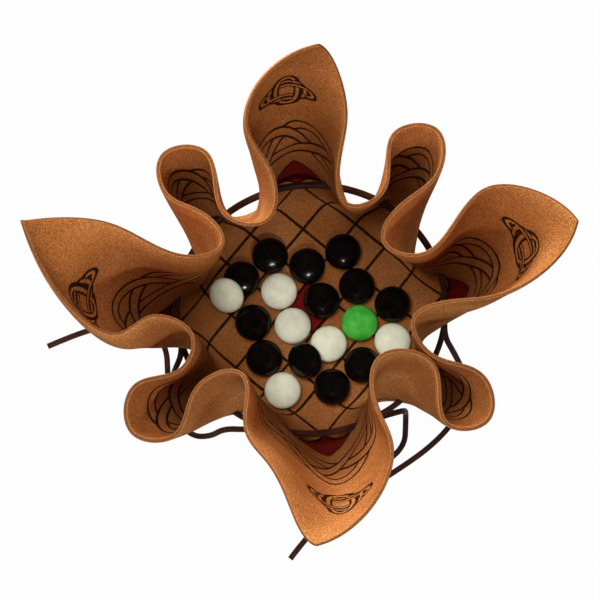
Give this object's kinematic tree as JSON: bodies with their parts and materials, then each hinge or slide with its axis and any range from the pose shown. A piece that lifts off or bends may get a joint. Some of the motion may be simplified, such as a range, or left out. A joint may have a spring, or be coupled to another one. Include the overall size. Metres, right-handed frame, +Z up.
{
  "type": "hnefatafl set",
  "caption": "Travelling board game: a square leather board drawn up by two laces into an open pouch that holds domed glass stones in three colours.",
  "frame": {"origin": "under the middle of the board, on the surface that the pouch stands on", "axes": "+Z up out of the pouch's mouth; the four corners of the leather lie over +X, +Y, -X and -Y; +Y is towards the top of the picture"},
  "size_m": [0.2315, 0.2026, 0.1805],
  "materials": {
    "suede": "split suede, mid tan, with a dark brown print on the inner face",
    "lace_leather": "dark brown lace, matt",
    "black_glass": "polished black glass",
    "white_glass": "polished milky white glass",
    "green_glass": "polished green glass"
  },
  "bodies": {
    "pouch": {"leather_sheet": "suede", "drawstring_east": "lace_leather", "drawstring_west": "lace_leather"},
    "attacker_01": {"attacker_stone_01": "black_glass"},
    "attacker_02": {"attacker_stone_02": "black_glass"},
    "attacker_03": {"attacker_stone_03": "black_glass"},
    "attacker_04": {"attacker_stone_04": "black_glass"},
    "attacker_05": {"attacker_stone_05": "black_glass"},
    "attacker_06": {"attacker_stone_06": "black_glass"},
    "attacker_07": {"attacker_stone_07": "black_glass"},
    "attacker_08": {"attacker_stone_08": "black_glass"},
    "attacker_09": {"attacker_stone_09": "black_glass"},
    "attacker_10": {"attacker_stone_10": "black_glass"},
    "attacker_11": {"attacker_stone_11": "black_glass"},
    "attacker_12": {"attacker_stone_12": "black_glass"},
    "defender_01": {"defender_stone_01": "white_glass"},
    "defender_02": {"defender_stone_02": "white_glass"},
    "defender_03": {"defender_stone_03": "white_glass"},
    "defender_04": {"defender_stone_04": "white_glass"},
    "defender_05": {"defender_stone_05": "white_glass"},
    "defender_06": {"defender_stone_06": "white_glass"},
    "king": {"king_stone": "green_glass"}
  },
  "joints": [
    {"name": "attacker_01_lift", "type": "slide", "parent": "pouch", "child": "attacker_01", "axis": [0.0536, -0.0965, 0.9939], "range_m": [0, 0.24]},
    {"name": "attacker_02_lift", "type": "slide", "parent": "pouch", "child": "attacker_02", "axis": [0, 0, 1], "range_m": [0, 0.18]},
    {"name": "attacker_03_lift", "type": "slide", "parent": "pouch", "child": "attacker_03", "axis": [-0.0347, -0.0631, 0.9974], "range_m": [0, 0.22]},
    {"name": "attacker_04_lift", "type": "slide", "parent": "pouch", "child": "attacker_04", "axis": [0.0639, -0.0439, 0.997], "range_m": [0, 0.2]},
    {"name": "attacker_05_lift", "type": "slide", "parent": "pouch", "child": "attacker_05", "axis": [0, 0, 1], "range_m": [0, 0.18]},
    {"name": "attacker_06_lift", "type": "slide", "parent": "pouch", "child": "attacker_06", "axis": [-0.0141, -0.0089, 0.9999], "range_m": [0, 0.2]},
    {"name": "attacker_07_lift", "type": "slide", "parent": "pouch", "child": "attacker_07", "axis": [-0.0313, -0.0315, 0.999], "range_m": [0, 0.2]},
    {"name": "attacker_08_lift", "type": "slide", "parent": "pouch", "child": "attacker_08", "axis": [0, 0, 1], "range_m": [0, 0.18]},
    {"name": "attacker_09_lift", "type": "slide", "parent": "pouch", "child": "attacker_09", "axis": [0, 0, 1], "range_m": [0, 0.18]},
    {"name": "attacker_10_lift", "type": "slide", "parent": "pouch", "child": "attacker_10", "axis": [0, 0, 1], "range_m": [0, 0.18]},
    {"name": "attacker_11_lift", "type": "slide", "parent": "pouch", "child": "attacker_11", "axis": [-0.0254, 0.0294, 0.9992], "range_m": [0, 0.2]},
    {"name": "attacker_12_lift", "type": "slide", "parent": "defender_03", "child": "attacker_12", "axis": [0, 0, 1], "range_m": [0, 0.18]},
    {"name": "defender_01_lift", "type": "slide", "parent": "pouch", "child": "defender_01", "axis": [0, 0, 1], "range_m": [0, 0.18]},
    {"name": "defender_02_lift", "type": "slide", "parent": "pouch", "child": "defender_02", "axis": [0, 0, 1], "range_m": [0, 0.18]},
    {"name": "defender_03_lift", "type": "slide", "parent": "pouch", "child": "defender_03", "axis": [0, 0, 1], "range_m": [0, 0.18]},
    {"name": "defender_04_lift", "type": "slide", "parent": "pouch", "child": "defender_04", "axis": [-0.0619, 0.0242, 0.9978], "range_m": [0, 0.22]},
    {"name": "defender_05_lift", "type": "slide", "parent": "pouch", "child": "defender_05", "axis": [0.0027, 0.0049, 1], "range_m": [0, 0.2]},
    {"name": "defender_06_lift", "type": "slide", "parent": "attacker_04", "child": "defender_06", "axis": [0.0832, -0.0303, 0.9961], "range_m": [0, 0.2]},
    {"name": "king_lift", "type": "slide", "parent": "pouch", "child": "king", "axis": [0, 0, 1], "range_m": [0, 0.18]}
  ]
}
